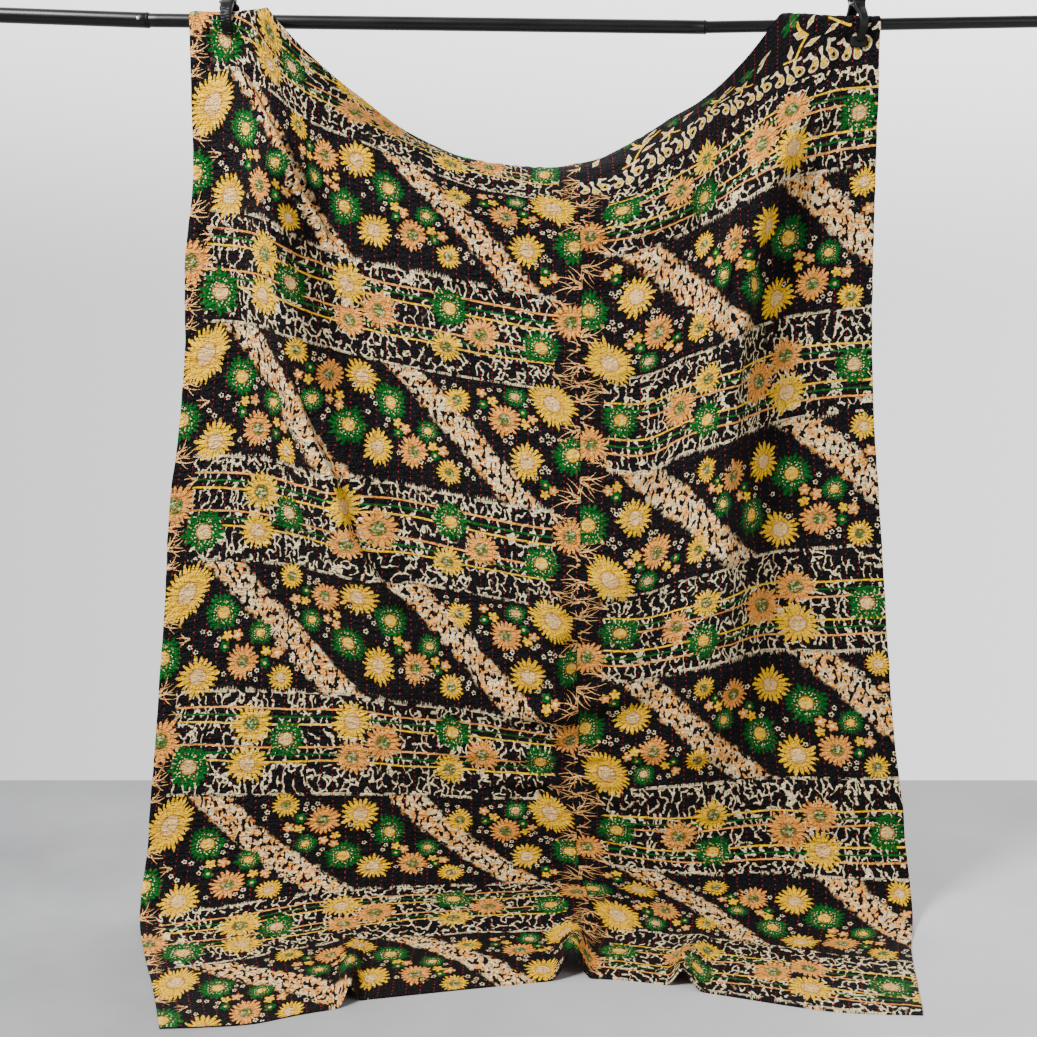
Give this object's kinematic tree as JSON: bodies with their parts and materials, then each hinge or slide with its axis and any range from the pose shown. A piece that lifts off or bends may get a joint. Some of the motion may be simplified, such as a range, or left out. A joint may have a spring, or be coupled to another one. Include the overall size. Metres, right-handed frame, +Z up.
{
  "type": "kantha quilt on a clamp rod",
  "caption": "Printed kantha quilt of two joined lengths, hung by its top corners from a telescopic rod with spring clamps, its hem lying forward on the floor.",
  "frame": {"origin": "on the floor, at the middle of the bounding box across and front to back", "axes": "+Z up, +X along the rod to the viewer's right, -Y to the front, where the hem lies"},
  "size_m": [2.0618, 0.6073, 1.8167],
  "materials": {
    "printed_cloth_left": "matte cotton, printed and hand stitched",
    "printed_cloth_right": "matte cotton, printed and hand stitched",
    "rod_steel": "satin black powder coat",
    "black_plastic": "satin",
    "clamp_plastic": "matte, fine grain",
    "screw_steel": "zinc plated"
  },
  "bodies": {
    "root": {"quilt_left_panel": "printed_cloth_left", "quilt_right_panel": "printed_cloth_right", "rod_outer_tube": "rod_steel", "rod_middle_tube": "rod_steel", "rod_inner_tube": "rod_steel", "rod_collar_left": "black_plastic", "rod_collar_right": "black_plastic", "rod_cap_left": "black_plastic", "rod_cap_right": "black_plastic", "rod_lock_screw": "screw_steel", "clamp_left_front": "clamp_plastic", "clamp_left_back": "clamp_plastic", "clamp_left_pin": "screw_steel", "clamp_right_front": "clamp_plastic", "clamp_right_back": "clamp_plastic", "clamp_right_pin": "screw_steel"}
  },
  "joints": []
}
